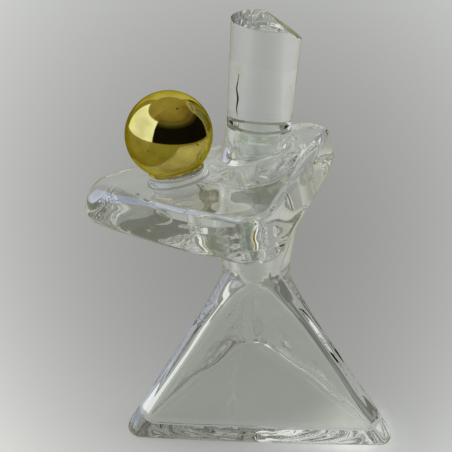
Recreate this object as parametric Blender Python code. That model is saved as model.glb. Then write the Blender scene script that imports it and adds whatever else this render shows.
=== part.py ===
"""Clear glass figure flacon with a solid stopper and a gilt ball on one arm.

The body is one piece of hollow glass. From the foot up: a three-sided skirt with rounded ridges, a round
waist, a short torso, a thick three-cornered slab (the arms) that slopes down to one lobe, and a round neck.
A narrow passage leads from the neck's bore through slab, torso and waist to the skirt's chamber.
The stopper is solid glass with a plug in a thin sleeve. The gilt ball stands on a glass boss on the lobe.

Metres, +Z up. The origin is on the flat base, under the neck's upright axis. The skirt's flat front faces -Y.
The skirt leans a little, so its foot and the waist lie to the right of the neck.
"""

import math

import bmesh
import bpy
from mathutils import Matrix, Vector

# Running and seating gaps
SEAT_GAP = 0.0003

# Skirt: a triangle at the foot that closes to the round waist
BASE_HALF_WIDTH = 0.0356
BASE_CORNER_RADIUS = 0.0060
FOOT_EDGE_RADIUS = 0.0048
WAIST_HEIGHT = 0.0386
WAIST_RADIUS = 0.0083
WAIST_ROUNDING = 0.0012
RIDGE_BLEND_POWER = 8
SKIRT_HEADING_DEG = 90.0
FOOT_X = 0.0049
WAIST_X = 0.0021

# Skirt chamber: the skirt's form again, inside its wall
FLOOR_THICKNESS = 0.0032
SKIRT_WALL = 0.0038
CHAMBER_CORNER_SHARE = 0.53
CHAMBER_EDGE_SHARE = 0.67
WAIST_BORE_SHARE = 0.47

# Slab: the arms, one thick plate with three lobes, whose right side leans in towards its top
SLAB_CENTRE_X = -0.0077
SLAB_CENTRE_Y = -0.0103
SLAB_CENTRE_HEIGHT = 0.0633
SLAB_HEADING_DEG = 160.0
SLAB_TILT_HEADING_DEG = 174.0
SLAB_TILT_DEG = 15.0
SLAB_SIDE_REACH = 0.0222
SLAB_THICKNESS = 0.0103
SLAB_TOP_PULL = 0.0038
LEFT_LOBE_RADIUS = 0.0078
LEFT_EDGE_RADIUS = 0.0046
FRONT_LOBE_RADIUS = 0.0054
FRONT_EDGE_RADIUS = 0.0012
BACK_LOBE_RADIUS = 0.0076
BACK_EDGE_RADIUS = 0.0024

# Torso: widens from the waist to the underside of the slab
TORSO_TOP_SPREAD = 0.0070
TORSO_TOP_RADIUS = 0.0078
TORSO_TOP_X = 0.0004
TORSO_TOP_Y = -0.0015
TORSO_ROOT_RADIUS = 0.0020

# Neck
NECK_HEIGHT = 0.0060
NECK_RADIUS = 0.0079
NECK_ROOT_RADIUS = 0.0026
NECK_WALL = 0.0020
NECK_BORE_RADIUS = NECK_RADIUS - NECK_WALL
LIP_EDGE_RADIUS = 0.0006

# Passage from the shoulder under the plug down to the waist
PLUG_TIP_ROOM = 0.0016
SHOULDER_LENGTH = 0.0028
PASSAGE_RADIUS = 0.0042

# Stopper and its sleeve
SLEEVE_WALL = 0.0005
SLEEVE_FLANGE_THICKNESS = 0.0008
SLEEVE_FLANGE_INSET = 0.0003
HEAD_FOOT_HEIGHT = 2 * SEAT_GAP + SLEEVE_FLANGE_THICKNESS
PLUG_LENGTH = 0.0130
PLUG_TIP_RADIUS = 0.0010
PLUG_TAPER = 0.0002
HEAD_LENGTH = 0.0250
HEAD_TOP_RADIUS = 0.0087
HEAD_FOOT_EDGE_RADIUS = 0.0005
HEAD_CREST_DEG = 3.3
HEAD_CREST_HEADING_DEG = 290.0
HEAD_CUT_RISE = 0.0013
HEAD_CUT_DEG = 31.0
HEAD_CUT_HEADING_DEG = 10.0
HEAD_CUT_EDGE = 0.0004

# Boss and stud that carry the ball, on the way from the slab's middle to the left lobe
BOSS_FROM_MIDDLE_X = -0.0116
BOSS_FROM_MIDDLE_Y = 0.0003
BOSS_X = SLAB_CENTRE_X + BOSS_FROM_MIDDLE_X
BOSS_Y = SLAB_CENTRE_Y + BOSS_FROM_MIDDLE_Y
BOSS_RADIUS = 0.0070
BOSS_HEIGHT = 0.0016
BOSS_EDGE_RADIUS = 0.0006
STUD_RADIUS = 0.0030
STUD_HEIGHT = 0.0056

# Gilt ball, its bush and the cement bed
BALL_RADIUS = 0.0105
BALL_WALL = 0.0008
BALL_MOUTH_RADIUS = 0.0067
BALL_LIP_HEIGHT = 0.0005
CEMENT_THICKNESS = 0.0004
INSERT_HEIGHT = 0.0052

# How finely the round forms are cut
CIRCLE_SIDES = 36
EDGE_STEPS = 3
SKIRT_STEPS = 10
SKIRT_STEP_POWER = 0.7
LEAST_RADIUS_SHARE = 0.33
TORSO_STEPS = 4
SMOOTH_ANGLE_DEG = 35.0
MERGE_DISTANCE = 0.00001
OVERRUN = 0.0020

COS_30 = math.cos(math.radians(30))
COS_CAP = math.cos(math.radians(60))


def blend(start, end, share):
    return start + (end - start) * share


def tilted_frame(point, heading_deg, tilt_deg):
    """A frame at the point whose Z leans by the tilt towards the heading, without any twist."""
    turn = Matrix.Rotation(math.radians(heading_deg), 4, "Z")
    lean = Matrix.Rotation(math.radians(tilt_deg), 4, "Y")
    return Matrix.Translation(point) @ turn @ lean @ turn.inverted()


def arc_ring(frame, lobes):
    """One section: arcs about the lobes, each a centre in the frame and a radius.

    Each point is the one whose outward normal has a set direction. Where lobes reach equally far, it lies
    midway between theirs, on the flat side.
    """
    points = []
    for index in range(CIRCLE_SIDES):
        normal_angle = math.radians(360 * index / CIRCLE_SIDES)
        outward = Vector((math.cos(normal_angle), math.sin(normal_angle), 0))
        reaches = [centre.dot(outward) + radius for centre, radius in lobes]
        farthest = max(reaches) - MERGE_DISTANCE
        nearest = [lobe for lobe, reach in zip(lobes, reaches) if reach > farthest]
        point = Vector((0, 0, 0))
        for centre, radius in nearest:
            point += (centre + outward * radius) / len(nearest)
        points.append(frame @ point)
    return points


def lobed_ring(frame, spread, radius, heading_deg=0.0):
    """A section with three like lobes, their centres the spread from the middle, one at the heading."""
    lobes = []
    for index in range(3):
        angle = math.radians(heading_deg + 120 * index)
        lobes.append((Vector((math.cos(angle), math.sin(angle), 0)) * spread, radius))
    return arc_ring(frame, lobes)


def half_width_spread(half_width, radius):
    """How far the arc centres lie from the middle, for this half width across two of the lobes."""
    return (half_width - radius) / COS_30


def skin(rings, wrap=False):
    """A closed mesh over rings listed from the foot up, with flat ends or wrapped round on itself."""
    mesh = bmesh.new()
    loops = [[mesh.verts.new(point) for point in ring] for ring in rings]
    pairs = list(zip(loops, loops[1:]))
    if wrap:
        pairs.append((loops[-1], loops[0]))
    for lower, upper in pairs:
        for index in range(CIRCLE_SIDES):
            after = (index + 1) % CIRCLE_SIDES
            mesh.faces.new((lower[index], lower[after], upper[after], upper[index]))
    if not wrap:
        mesh.faces.new(reversed(loops[0]))
        mesh.faces.new(loops[-1])
    bmesh.ops.remove_doubles(mesh, verts=mesh.verts, dist=MERGE_DISTANCE)
    bmesh.ops.dissolve_degenerate(mesh, edges=mesh.edges, dist=MERGE_DISTANCE)
    bmesh.ops.recalc_face_normals(mesh, faces=mesh.faces)
    return mesh


def turned(profile, wrap=False):
    """A turned solid about Z. The profile is a list of (radius, height), from the foot up its outside."""
    rings = [lobed_ring(Matrix.Translation((0, 0, height)), 0, radius) for radius, height in profile]
    return skin(rings, wrap)


def round_profile(centre_radius, centre_height, edge_radius, start_deg, end_deg):
    """Points on an arc of a turned profile, by the angle of the arc's normal above the horizontal."""
    points = []
    for step in range(EDGE_STEPS + 1):
        angle = math.radians(blend(start_deg, end_deg, step / EDGE_STEPS))
        radius = centre_radius + edge_radius * math.cos(angle)
        points.append((radius, centre_height + edge_radius * math.sin(angle)))
    return points


def make_object(name, mesh_data, material, frame=None):
    mesh = bpy.data.meshes.new(name)
    mesh_data.to_mesh(mesh)
    mesh_data.free()
    mesh.materials.append(material)
    mesh.shade_smooth()
    mesh.set_sharp_from_angle(angle=math.radians(SMOOTH_ANGLE_DEG))
    piece = bpy.data.objects.new(name, mesh)
    bpy.context.scene.collection.objects.link(piece)
    if frame is not None:
        piece.matrix_world = frame
    return piece


def make_material(name, colour, roughness, metallic=0.0, transmission=0.0, ior=1.5):
    material = bpy.data.materials.new(name)
    material.use_nodes = True
    shader = material.node_tree.nodes["Principled BSDF"]
    shader.inputs["Base Color"].default_value = (*colour, 1.0)
    shader.inputs["Roughness"].default_value = roughness
    shader.inputs["Metallic"].default_value = metallic
    shader.inputs["Transmission Weight"].default_value = transmission
    shader.inputs["IOR"].default_value = ior
    return material


# Frames that the pieces share

def slab_frame(height_above_middle=0.0):
    """The slab's middle plane, or a plane parallel to it."""
    middle = Vector((SLAB_CENTRE_X, SLAB_CENTRE_Y, SLAB_CENTRE_HEIGHT))
    frame = tilted_frame(middle, SLAB_TILT_HEADING_DEG, SLAB_TILT_DEG)
    return frame @ Matrix.Translation((0, 0, height_above_middle))


def slab_point(x, y, height_above_middle):
    """The point over the plan position (x, y) on a plane parallel to the slab's middle plane."""
    frame = slab_frame(height_above_middle)
    normal = frame.to_3x3().col[2]
    origin = frame.translation
    drop = (normal.x * (x - origin.x) + normal.y * (y - origin.y)) / normal.z
    return Vector((x, y, origin.z - drop))


def neck_frame(height=0.0):
    """The neck's upright axis, at a height above the slab's top face."""
    return Matrix.Translation(slab_point(0, 0, SLAB_THICKNESS / 2)) @ Matrix.Translation((0, 0, height))


def boss_frame(height=0.0):
    """The axis of the boss and the ball, at a height above the slab's top face."""
    foot = slab_point(BOSS_X, BOSS_Y, SLAB_THICKNESS / 2)
    return tilted_frame(foot, SLAB_TILT_HEADING_DEG, SLAB_TILT_DEG) @ Matrix.Translation((0, 0, height))


def skirt_rings(half_width, corner_radius, waist_radius, foot_height, edge_radius):
    """Sections from the foot to the waist, outside or inside, with the foot's edge rounded."""
    full_drop = WAIST_HEIGHT - foot_height
    soft_drop = math.hypot(full_drop, WAIST_ROUNDING) - WAIST_ROUNDING
    heights = []
    for step in range(EDGE_STEPS):
        heights.append(edge_radius * (1 - math.cos(math.radians(90 * step / EDGE_STEPS))))
    for step in range(SKIRT_STEPS + 1):
        heights.append(blend(edge_radius, full_drop, (step / SKIRT_STEPS) ** SKIRT_STEP_POWER))
    rings = []
    for height in heights:
        drop = full_drop - height
        widening = (math.hypot(drop, WAIST_ROUNDING) - WAIST_ROUNDING) / soft_drop
        inset = 0
        if height < edge_radius:
            inset = edge_radius - math.sqrt(edge_radius ** 2 - (edge_radius - height) ** 2)
        radius = blend(corner_radius, waist_radius, (height / full_drop) ** RIDGE_BLEND_POWER)
        section_radius = max(radius - inset, radius * LEAST_RADIUS_SHARE)
        spread = half_width_spread(blend(waist_radius, half_width, widening) - inset, section_radius)
        frame = Matrix.Translation((blend(WAIST_X, FOOT_X, widening), 0, foot_height + height))
        rings.append(lobed_ring(frame, max(spread, 0), section_radius, SKIRT_HEADING_DEG))
    return rings


def torso_rings():
    """Sections from above the waist to the torso's root in the slab's underside."""
    rings = []
    top = slab_point(TORSO_TOP_X, TORSO_TOP_Y, -SLAB_THICKNESS / 2)
    rise = top.z - TORSO_ROOT_RADIUS - WAIST_HEIGHT
    for step in range(1, TORSO_STEPS + 1):
        share = step / TORSO_STEPS
        soft = (math.hypot(rise * share, WAIST_ROUNDING) - WAIST_ROUNDING) / (rise - WAIST_ROUNDING)
        centre = Vector((blend(WAIST_X, top.x, share), top.y * share, WAIST_HEIGHT + rise * share))
        frame = tilted_frame(centre, SLAB_TILT_HEADING_DEG, SLAB_TILT_DEG * share)
        radius = blend(WAIST_RADIUS, TORSO_TOP_RADIUS, soft)
        rings.append(lobed_ring(frame, TORSO_TOP_SPREAD * soft, radius, SLAB_HEADING_DEG))
    root = tilted_frame(top, SLAB_TILT_HEADING_DEG, SLAB_TILT_DEG)
    rings.append(lobed_ring(root, TORSO_TOP_SPREAD, TORSO_TOP_RADIUS + TORSO_ROOT_RADIUS, SLAB_HEADING_DEG))
    return rings


def slab_lobe(index, side, arc_deg):
    """The centre and radius of one lobe at a stage of its rounded edge, under (-1) or over (1) the middle.

    The front and back lobes are pulled towards the left one as the height rises, along the two sides that
    meet there, so that those sides stay upright and only the right one leans in.
    """
    radius, edge_radius = ((LEFT_LOBE_RADIUS, LEFT_EDGE_RADIUS), (FRONT_LOBE_RADIUS, FRONT_EDGE_RADIUS),
                           (BACK_LOBE_RADIUS, BACK_EDGE_RADIUS))[index]
    arc = math.radians(arc_deg)
    height = side * (SLAB_THICKNESS / 2 - edge_radius) + edge_radius * math.sin(arc)
    heading = math.radians(SLAB_HEADING_DEG + 120 * index)
    centre = Vector((math.cos(heading), math.sin(heading), 0)) * (SLAB_SIDE_REACH - radius) * 2
    if index > 0:
        pull_heading = math.radians(SLAB_HEADING_DEG + (-30, 30)[index - 1])
        pull = SLAB_TOP_PULL * (1 / 2 + height / SLAB_THICKNESS)
        centre += Vector((math.cos(pull_heading), math.sin(pull_heading), 0)) * pull
    centre.z = height
    return centre, radius - edge_radius + edge_radius * math.cos(arc)


def slab_rings():
    """Sections out over the underside, round the rim and back over the top face."""
    rings = []
    for side, start_deg, end_deg in ((-1, -90, 0), (1, 0, 90)):
        for step in range(EDGE_STEPS + 1):
            arc_deg = blend(start_deg, end_deg, step / EDGE_STEPS)
            rings.append(arc_ring(slab_frame(), [slab_lobe(index, side, arc_deg) for index in range(3)]))
    return rings


def neck_rings():
    """Sections from the neck's root on the slab, up its outside and over the lip to the bore."""
    rings = []
    for radius, height in round_profile(0, 0, NECK_ROOT_RADIUS, -90, 0):
        share = 1 + height / NECK_ROOT_RADIUS
        centre = neck_frame(NECK_ROOT_RADIUS + height).translation
        frame = tilted_frame(centre, SLAB_TILT_HEADING_DEG, SLAB_TILT_DEG * (1 - share))
        rings.append(lobed_ring(frame, 0, NECK_RADIUS + NECK_ROOT_RADIUS - radius))
    edge_height = NECK_HEIGHT - LIP_EDGE_RADIUS
    lip = round_profile(NECK_RADIUS - LIP_EDGE_RADIUS, edge_height, LIP_EDGE_RADIUS, 0, 90)
    lip += round_profile(NECK_BORE_RADIUS + LIP_EDGE_RADIUS, edge_height, LIP_EDGE_RADIUS, 90, 180)
    return rings + [lobed_ring(neck_frame(height), 0, radius) for radius, height in lip]


def bore_rings():
    """Sections down the bore to its shoulder under the plug, and down the passage to the waist."""
    shoulder_height = NECK_HEIGHT + HEAD_FOOT_HEIGHT - PLUG_LENGTH - PLUG_TIP_ROOM
    rings = [lobed_ring(neck_frame(shoulder_height), 0, NECK_BORE_RADIUS)]
    top = neck_frame(shoulder_height - SHOULDER_LENGTH).translation
    for step in range(TORSO_STEPS + 1):
        share = step / TORSO_STEPS
        frame = Matrix.Translation(top.lerp(Vector((WAIST_X, 0, WAIST_HEIGHT)), share))
        rings.append(lobed_ring(frame, 0, blend(PASSAGE_RADIUS, WAIST_RADIUS * WAIST_BORE_SHARE, share)))
    return rings


def build_bottle_body(glass):
    """The hollow body as one skin, up the outside and down the inside, with the boss joined on."""
    outside = skirt_rings(BASE_HALF_WIDTH, BASE_CORNER_RADIUS, WAIST_RADIUS, 0, FOOT_EDGE_RADIUS)
    inside = skirt_rings(BASE_HALF_WIDTH - SKIRT_WALL, BASE_CORNER_RADIUS * CHAMBER_CORNER_SHARE,
                         WAIST_RADIUS * WAIST_BORE_SHARE, FLOOR_THICKNESS,
                         FOOT_EDGE_RADIUS * CHAMBER_EDGE_SHARE)
    rings = outside + torso_rings() + slab_rings() + neck_rings() + bore_rings() + inside[-2::-1]
    body = make_object("bottle_body", skin(rings), glass)

    stud_top = BOSS_HEIGHT + STUD_HEIGHT
    profile = [(0, -OVERRUN), (BOSS_RADIUS, -OVERRUN)]
    profile += round_profile(BOSS_RADIUS - BOSS_EDGE_RADIUS, BOSS_HEIGHT - BOSS_EDGE_RADIUS,
                             BOSS_EDGE_RADIUS, 0, 90)
    profile += [(STUD_RADIUS, BOSS_HEIGHT)]
    profile += round_profile(STUD_RADIUS - BOSS_EDGE_RADIUS, stud_top - BOSS_EDGE_RADIUS,
                             BOSS_EDGE_RADIUS, 0, 90)
    profile += [(0, stud_top)]
    boss = make_object("boss_form", turned(profile), glass, boss_frame())
    boss.hide_render = True
    boss.display_type = "WIRE"
    union = body.modifiers.new("boss", "BOOLEAN")
    union.operation = "UNION"
    union.object = boss
    return body


def build_stopper(glass, axis):
    """The solid head with its oblique cut and small level crest, and the plug that goes into the sleeve."""
    plug_radius = NECK_BORE_RADIUS - 2 * SEAT_GAP - SLEEVE_WALL
    tip_height = HEAD_FOOT_HEIGHT - PLUG_LENGTH
    profile = [(0, tip_height)]
    profile += round_profile(plug_radius - PLUG_TAPER - PLUG_TIP_RADIUS, tip_height + PLUG_TIP_RADIUS,
                             PLUG_TIP_RADIUS, -90, 0)
    profile += [(plug_radius, HEAD_FOOT_HEIGHT)]
    profile += round_profile(NECK_RADIUS - HEAD_FOOT_EDGE_RADIUS, HEAD_FOOT_HEIGHT + HEAD_FOOT_EDGE_RADIUS,
                             HEAD_FOOT_EDGE_RADIUS, -90, 0)
    cut_rise = HEAD_TOP_RADIUS * math.tan(math.radians(HEAD_CUT_DEG))
    top_height = HEAD_FOOT_HEIGHT + HEAD_LENGTH
    slope = (HEAD_TOP_RADIUS - NECK_RADIUS) / HEAD_LENGTH
    for height in (top_height - cut_rise - OVERRUN, top_height + cut_rise + OVERRUN):
        profile += [(NECK_RADIUS + slope * (height - HEAD_FOOT_HEIGHT), height)]
    profile += [(0, top_height + cut_rise + OVERRUN)]
    form = turned(profile)
    cuts = ((0, HEAD_CREST_DEG, HEAD_CREST_HEADING_DEG), (HEAD_CUT_RISE, HEAD_CUT_DEG, HEAD_CUT_HEADING_DEG))
    for rise, tilt_deg, heading_deg in cuts:
        facing = tilted_frame((0, 0, 0), heading_deg, tilt_deg).to_3x3().col[2]
        bmesh.ops.bisect_plane(form, geom=form.verts[:] + form.edges[:] + form.faces[:], dist=MERGE_DISTANCE,
                               plane_co=(0, 0, top_height + rise), plane_no=facing, clear_outer=True)
        bmesh.ops.holes_fill(form, edges=[edge for edge in form.edges if edge.is_boundary])
    bmesh.ops.recalc_face_normals(form, faces=form.faces)
    caps = [face for face in form.faces if face.calc_center_median().z > top_height - cut_rise
            and face.normal.z > COS_CAP]
    rim = list({edge for face in caps for edge in face.edges})
    bmesh.ops.bevel(form, geom=rim, offset=HEAD_CUT_EDGE, segments=2, profile=0.5, affect="EDGES")
    bmesh.ops.recalc_face_normals(form, faces=form.faces)
    stopper = make_object("stopper", form, glass)
    stopper.parent = axis
    return stopper


def build_sleeve(plastic, axis):
    """The thin sleeve round the plug, open at its foot, with the flange that lies on the lip."""
    outer = NECK_BORE_RADIUS - SEAT_GAP
    inner = outer - SLEEVE_WALL
    flange_radius = NECK_RADIUS - SLEEVE_FLANGE_INSET
    flange_top = SEAT_GAP + SLEEVE_FLANGE_THICKNESS
    foot = HEAD_FOOT_HEIGHT - PLUG_LENGTH + PLUG_TIP_RADIUS
    profile = [(inner, foot), (outer, foot), (outer, SEAT_GAP), (flange_radius, SEAT_GAP),
               (flange_radius, flange_top), (inner, flange_top)]
    sleeve = make_object("stopper_sleeve", turned(profile, wrap=True), plastic)
    sleeve.parent = axis
    return sleeve


def build_ball(gilt, cement, plastic):
    """The gilt shell with its lipped mouth, the bush inside it and the cement bed under both."""
    bed_foot = BOSS_HEIGHT + SEAT_GAP
    mouth_height = bed_foot + CEMENT_THICKNESS + SEAT_GAP
    throat = BALL_MOUTH_RADIUS - BALL_WALL
    centre_height = mouth_height + BALL_LIP_HEIGHT + math.sqrt(BALL_RADIUS ** 2 - BALL_MOUTH_RADIUS ** 2)
    outer_foot_deg = -math.degrees(math.acos(BALL_MOUTH_RADIUS / BALL_RADIUS))
    inner_radius = BALL_RADIUS - BALL_WALL
    inner_foot_deg = -math.degrees(math.acos(throat / inner_radius))
    profile = [(throat, mouth_height), (BALL_MOUTH_RADIUS, mouth_height)]
    outer_steps = CIRCLE_SIDES // 2
    for step in range(outer_steps + 1):
        angle = math.radians(blend(outer_foot_deg, 90, step / outer_steps))
        profile.append((BALL_RADIUS * math.cos(angle), centre_height + BALL_RADIUS * math.sin(angle)))
    inner_steps = outer_steps // 2
    for step in range(inner_steps + 1):
        angle = math.radians(blend(90, inner_foot_deg, step / inner_steps))
        profile.append((inner_radius * math.cos(angle), centre_height + inner_radius * math.sin(angle)))
    make_object("gold_ball", turned(profile, wrap=True), gilt, boss_frame())

    insert_inner = STUD_RADIUS + SEAT_GAP
    insert_outer = throat - SEAT_GAP
    insert_top = mouth_height + INSERT_HEIGHT
    profile = [(insert_inner, mouth_height), (insert_outer, mouth_height), (insert_outer, insert_top),
               (insert_inner, insert_top)]
    make_object("ball_insert", turned(profile, wrap=True), plastic, boss_frame())

    bed_top = bed_foot + CEMENT_THICKNESS
    profile = [(insert_inner, bed_foot), (BALL_MOUTH_RADIUS, bed_foot), (BALL_MOUTH_RADIUS, bed_top),
               (insert_inner, bed_top)]
    make_object("ball_cement", turned(profile, wrap=True), cement, boss_frame())


def build():
    for piece in list(bpy.data.objects):
        bpy.data.objects.remove(piece, do_unlink=True)

    glass = make_material("clear_glass", (0.93, 0.96, 0.94), 0.02, transmission=1.0, ior=1.5)
    sleeve_plastic = make_material("sleeve_polyethylene", (0.86, 0.88, 0.86), 0.35, transmission=0.6, ior=1.5)
    gilt = make_material("gilt_metal", (0.83, 0.60, 0.13), 0.08, metallic=1.0)
    insert_plastic = make_material("insert_plastic", (0.75, 0.73, 0.68), 0.5)
    cement = make_material("clear_cement", (0.88, 0.86, 0.76), 0.2, transmission=0.5, ior=1.5)

    build_bottle_body(glass)

    axis = bpy.data.objects.new("neck_axis", None)
    bpy.context.scene.collection.objects.link(axis)
    axis.matrix_world = neck_frame(NECK_HEIGHT)
    build_sleeve(sleeve_plastic, axis)
    build_stopper(glass, axis)
    build_ball(gilt, cement, insert_plastic)


build()
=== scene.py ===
import bpy
import numpy as np
from mathutils import Matrix, Vector


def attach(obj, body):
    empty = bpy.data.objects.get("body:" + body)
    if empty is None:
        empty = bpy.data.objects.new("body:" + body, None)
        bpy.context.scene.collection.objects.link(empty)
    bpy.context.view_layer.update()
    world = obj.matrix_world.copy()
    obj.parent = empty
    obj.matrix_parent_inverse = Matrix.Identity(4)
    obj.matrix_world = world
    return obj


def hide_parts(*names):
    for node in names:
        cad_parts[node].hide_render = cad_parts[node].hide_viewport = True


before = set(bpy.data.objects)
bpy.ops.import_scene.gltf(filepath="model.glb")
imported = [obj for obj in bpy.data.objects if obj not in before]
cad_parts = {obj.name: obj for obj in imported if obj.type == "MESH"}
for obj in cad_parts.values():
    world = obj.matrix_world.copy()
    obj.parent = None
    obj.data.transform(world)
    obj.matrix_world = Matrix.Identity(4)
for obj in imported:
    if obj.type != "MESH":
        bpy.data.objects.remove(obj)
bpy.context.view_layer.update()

scene = bpy.context.scene

# Bottle body
# One piece of clear, faintly grey-green glass, pressed and finished by hand: a hollow three-sided skirt, a
# round waist, a short torso, a thick three-lobed slab that slopes down to the left, a round neck and the low
# boss with the stud that carries the ball. Its faces ripple a little, and air is caught in the slab.
base_half_width = 0.0356
base_corner_radius = 0.0007
ridge_flat = 0.0009
foot_corner_extra = 0.0022
foot_corner_fade = 0.0045
flat_rounding = 0.12
skirt_forward = 0.0016
foot_edge_radius = 0.0048
foot_edge_share = 0.33
waist_height = 0.0386
waist_radius = 0.0083
waist_rounding = 0.0012
ridge_blend_power = 8
skirt_heading_deg = 90.0
foot_x = 0.0049
waist_x = 0.0021
floor_thickness = 0.0032
skirt_wall = 0.0044
chamber_corner_radius = 0.0030
chamber_edge_share = 0.67
bore_share = 0.47

slab_middle = np.array((-0.0077, -0.0103, 0.0633))
slab_heading_deg = 160.0
tilt_heading_deg = 174.0
slab_tilt_deg = 15.0
slab_side_reach = 0.0222
slab_lobe_radii = np.array((0.0078, 0.0054, 0.0076))
slab_thickness = 0.0103
crisp_power = 5
crisp_reach_deg = 6.0
rim_share = 0.999
slab_edge_radii = np.array((0.0046, 0.0012, 0.0024))
slab_top_pulls = np.array((0.0, 0.0038, 0.0038))
slab_pull_headings_deg = np.array((0.0, 130.0, 190.0))

torso_spread = 0.0070
torso_radius = 0.0078
torso_x, torso_y = 0.0004, -0.0015
torso_root_radius = 0.0020

shoulder_depth = 0.0072
shoulder_power = 1.5
passage_depth = 0.0100
passage_radius = 0.0042

neck_height = 0.0060
neck_radius = 0.0079
neck_root_radius = 0.0026
neck_bore_radius = 0.0059
lip_edge_radius = 0.0001

boss_x, boss_y = -0.0193, -0.0100
boss_radius = 0.0070
boss_height = 0.0016
boss_edge_radius = 0.0006
boss_root_radius = 0.0010
stud_radius = 0.0030
stud_height = 0.0056
overrun = 0.0020

side_sharpness = 42.0
side_points = 15
flat_pace = 0.3
round_points = 114
side_ring_pace = 0.8
calm_bore_rings = 12
boss_sides = 72
sharp_deg = 40.0
thread_aside = (0.35, 0.25, 0.9)
thread_end_angle = 0.04
ripples = ((0.00016, 0.022, 5), (0.00005, 0.009, 6))
pole_share = 0.04
refraction = 1.5
glass_cloud_scale = 60.0
glass_haze = 0.03


def blend(start, end, share):
    """start + (end - start) * share."""
    return start + (end - start) * share


def tenths(values):
    """Metres from tenths of a millimetre."""
    return np.array(values) / 10000.0


def slab_tilt_axes(tilt_deg):
    """The level direction of the tilt, the level direction across it, and cosine and sine of the tilt."""
    heading = np.radians(tilt_heading_deg)
    along = np.array((np.cos(heading), np.sin(heading), 0.0))
    across = np.array((-np.sin(heading), np.cos(heading), 0.0))
    tilt = np.radians(tilt_deg)
    return along, across, np.cos(tilt), np.sin(tilt)


def slab_normal():
    """The unit normal of the slab's planes, upwards."""
    along, _, cosine, sine = slab_tilt_axes(slab_tilt_deg)
    return along * sine + np.array((0.0, 0.0, cosine))


def slab_height(x, y, above_middle):
    """Height over the floor, at plan place (x, y), of a plane parallel to the slab's middle plane."""
    normal = slab_normal()
    off = normal[0] * (x - slab_middle[0]) + normal[1] * (y - slab_middle[1])
    return slab_middle[2] + (above_middle - off) / normal[2]


def outline_directions():
    """Directions round a section, evenly spread except that they crowd where a flat side turns.

    Inverse of a running count: an even part, plus one smooth step at the outward heading of each side.
    """
    table = np.linspace(0.0, 360.0, 14401)
    count = table / 360.0 * round_points
    steepness = side_sharpness * np.sqrt(3.0) * np.pi / 180.0
    sides = [(heading + 60.0, steepness) for heading in (skirt_heading_deg, slab_heading_deg)]
    for middle, pace in sides + [(skirt_heading_deg, steepness * flat_pace)]:
        for turn in range(-4, 4):
            count = count + side_points / (1.0 + np.exp(-pace * (table - middle % 120.0 - 120.0 * turn)))
    count = count - count[0]
    total = int(round(count[-1]))
    return np.radians(np.interp(np.arange(total) * count[-1] / total, count, table))


def rings(x, y, z, tilt_deg, spread, radius, heading_deg, flat=0.0):
    """One row a section: centre and tilt, then spread, radius and heading of its three lobes, and flat.

    A lobe's value is one number, one for each section, or an array of sections by lobes.
    """
    def by_lobe(value):
        value = np.asarray(value, float)
        return value if value.ndim == 2 else np.atleast_1d(value)[:, None]

    lobe_values = [by_lobe(value) for value in (spread, radius, heading_deg)]
    plain = [np.atleast_1d(np.asarray(value, float)) for value in (x, y, z, tilt_deg, flat)]
    size = max(len(value) for value in plain + lobe_values)
    columns = [np.broadcast_to(value, size)[:, None] for value in plain]
    columns[4:4] = [np.broadcast_to(value, (size, 3)) for value in lobe_values]
    table = np.concatenate(columns, axis=1)
    if np.ndim(heading_deg) < 2:
        table[:, 10:13] += (0.0, 120.0, 240.0)
    return table


def tipped(points, tilt_deg):
    """Points turned about the world's origin, down towards the slab's tilt heading, without any twist."""
    along, across, cosine, sine = slab_tilt_axes(tilt_deg)
    forward, sideways, height = points @ along, points @ across, points[..., 2]
    placed = (forward * cosine + height * sine)[..., None] * along + sideways[..., None] * across
    placed[..., 2] += height * cosine - forward * sine
    return placed


def section_grid(table, directions):
    """Points of every section in every direction, as an array of rings by directions by 3.

    Support form of a rounded triangle: the soft maximum, over the three lobes, of the lobe's radius plus its
    spread times the cosine of the direction's angle off the lobe's heading, plus its flat times the softened
    sine of that angle, which cuts the lobe off square. The point is the soft mean of the lobes' own points in
    that direction, plus what the soft maximum adds along it.
    The section's plane is then tipped by its tilt.
    """
    centre, tilt_deg = table[:, :3], table[:, 3, None]
    spread, radius, heading = (table[:, None, first:first + 3] for first in (4, 7, 10))
    heading = np.radians(heading)
    off = directions[None, :, None] - heading
    flat = table[:, 13, None, None]
    bend = np.hypot(np.sin(off), flat_rounding)
    reach = radius + spread * np.cos(off) + flat * bend
    size = np.maximum((radius + spread).max(axis=2, keepdims=True), 1e-5)
    weight = np.exp(side_sharpness * (reach - reach.max(axis=2, keepdims=True)) / size)
    total = weight.sum(axis=2, keepdims=True)
    soft = reach.max(axis=2) + np.log(total[..., 0]) / side_sharpness * size[..., 0]

    def mean(values):
        return (weight / total * values).sum(axis=2)

    outward = mean(radius + flat * bend) + soft - mean(reach)
    onward = mean(flat * np.sin(off) * np.cos(off) / bend)
    east, north = np.cos(directions), np.sin(directions)
    x = mean(spread * np.cos(heading)) + outward * east - onward * north
    y = mean(spread * np.sin(heading)) + outward * north + onward * east
    return centre[:, None, :] + tipped(np.stack((x, y, np.zeros_like(x)), axis=-1), tilt_deg)


def edge_arc(centre_radius, centre_height, edge_radius, start_deg, end_deg, steps):
    """Radii and heights on an arc, by the angle of its normal above the level."""
    angle = np.radians(np.linspace(start_deg, end_deg, steps))
    return centre_radius + edge_radius * np.cos(angle), centre_height + edge_radius * np.sin(angle)


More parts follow.
